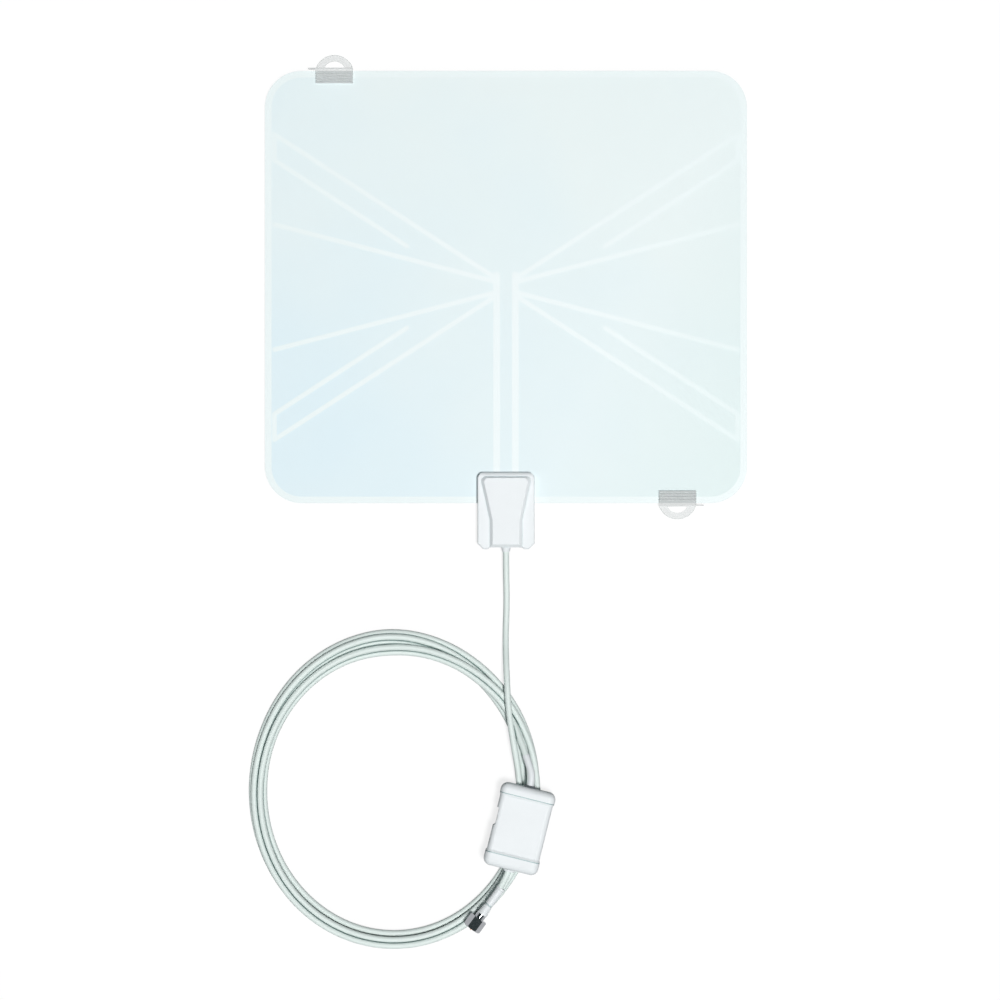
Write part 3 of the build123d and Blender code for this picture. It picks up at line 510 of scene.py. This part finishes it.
def seen_rays(tree):
    """One for rays from the camera, off mirrors and through glass, nought for those that light surfaces."""
    path = add(tree, "LightPath").outputs
    direct = compute(tree, "MAXIMUM", path["Is Camera Ray"], path["Is Glossy Ray"])
    return compute(tree, "MAXIMUM", direct, path["Is Transmission Ray"])


def build_stage():
    """Floor that looks white and casts little light back, but still takes the object's shadow."""
    bpy.ops.mesh.primitive_plane_add(size=FLOOR_SIZE, location=(0.0, 0.0, FLOOR_LEVEL))
    floor = bpy.context.object
    floor.name = "floor"
    material, tree, shader, places = start_material("floor_paper")
    fibre = noise(tree, places, scale=40.0, detail=3.0)
    paper = blend_colours(tree, fibre, shade(FLOOR_COLOUR, FIBRE_SHADE), FLOOR_COLOUR)
    seen = seen_rays(tree)
    tree.links.new(blend_colours(tree, seen, FLOOR_BOUNCE, paper), shader.inputs["Base Color"])
    shader.inputs["Roughness"].default_value = FLOOR_ROUGHNESS
    shader.inputs["Specular IOR Level"].default_value = 0.0
    shader.inputs["Emission Color"].default_value = PURE_WHITE
    tree.links.new(compute(tree, "MULTIPLY", seen, FLOOR_GLOW), shader.inputs["Emission Strength"])
    floor.data.materials.append(material)


def build_light():
    """Sky with its low white backdrop, and the lamp."""
    world = bpy.data.worlds.new("studio")
    bpy.context.scene.world = world
    world.use_nodes = True
    tree = world.node_tree
    y, z = split(tree, add(tree, "TexCoord").outputs["Generated"])[1:]
    towards_head = ramp(tree, y, SKY_FOOT_PLACE, SKY_HEAD_PLACE, 0.0, 1.0)
    sky = blend_colours(tree, towards_head, SKY_FOOT, SKY_HEAD)
    low = ramp(tree, z, BACKDROP_WHOLE, BACKDROP_TOP, 1.0, 0.0)
    backdrop = compute(tree, "MULTIPLY", seen_rays(tree), low)
    tree.links.new(blend_colours(tree, backdrop, sky, PURE_WHITE), tree.nodes["Background"].inputs["Color"])
    lamp = bpy.data.lights.new("key", "SUN")
    lamp.color = KEY_COLOUR
    lamp.energy = KEY_STRENGTH
    lamp.angle = radians(KEY_SPREAD)
    key = bpy.data.objects.new("key", lamp)
    key.rotation_euler = (radians(90 - KEY_ELEVATION), 0.0, radians(KEY_TURN))
    bpy.context.scene.collection.objects.link(key)


def build_camera():
    """Camera straight above the middle of the picture."""
    data = bpy.data.cameras.new("camera")
    data.lens = LENS
    data.sensor_width = SENSOR
    camera = bpy.data.objects.new("camera", data)
    camera.location = VIEW_CENTRE + Vector((0.0, 0.0, VIEW_WIDTH * LENS / SENSOR))
    bpy.context.scene.collection.objects.link(camera)
    bpy.context.scene.camera = camera


bpy.context.scene.view_settings.view_transform = "Standard"
build_stage()
build_light()
build_camera()
dress(rear_film_material(), "rear_film")
dress(front_film_material(), "front_film")
dress(foil_material(), "right_radiator", "left_radiator")
dress(tab_material(), "hang_tab_top", "hang_tab_bottom")
# Each plastic below carries painted shade in its recesses
dress(plastic("white_housing", WHITE, roughness=0.55), "housing_front_cover", "housing_rear_cover")
dress(plastic("white_shell", WHITE, roughness=0.55), "amplifier_top_shell", "amplifier_bottom_shell")
dress(plastic("soft_collar", shade(WHITE, COLLAR_SHADE), roughness=0.5),
      "cable_grommet", "amplifier_input_boot", "amplifier_output_gland", "connector_sleeve")
# Painted shadow: the input gland is made dark to stand in for the shade where the lead enters the amplifier
dress(plastic("painted_shadow_collar", PAINTED_SHADOW_GREY, roughness=0.5), "amplifier_input_gland")
dress(plastic("circuit_board", BOARD_GREEN, roughness=0.5), "matching_board", "amplifier_board")
dress(plastic("ferrite", FERRITE, roughness=0.6), "balun_core")
dress(plastic("white_insulator", INSULATOR, roughness=0.5), "power_socket_tongue", "connector_insulator")
dress(metal("copper", COPPER, roughness=0.3), "balun_winding", "cable_core", "connector_pin")
dress(metal("spring_bronze", BRONZE, roughness=0.3), "feed_contact_left", "feed_contact_right")
dress(metal("tinned_steel", TIN, roughness=0.35), "amplifier_shield_can", "power_socket")
dress(metal("nickel", NICKEL, roughness=0.04), "connector_body", "connector_nut")
# The jacket's painted shade between touching turns is darker than on the other plastics
build_leads(plastic("white_jacket", JACKET, roughness=0.55, grain=500.0, relief=0.05, painted_shade_level=0.28))
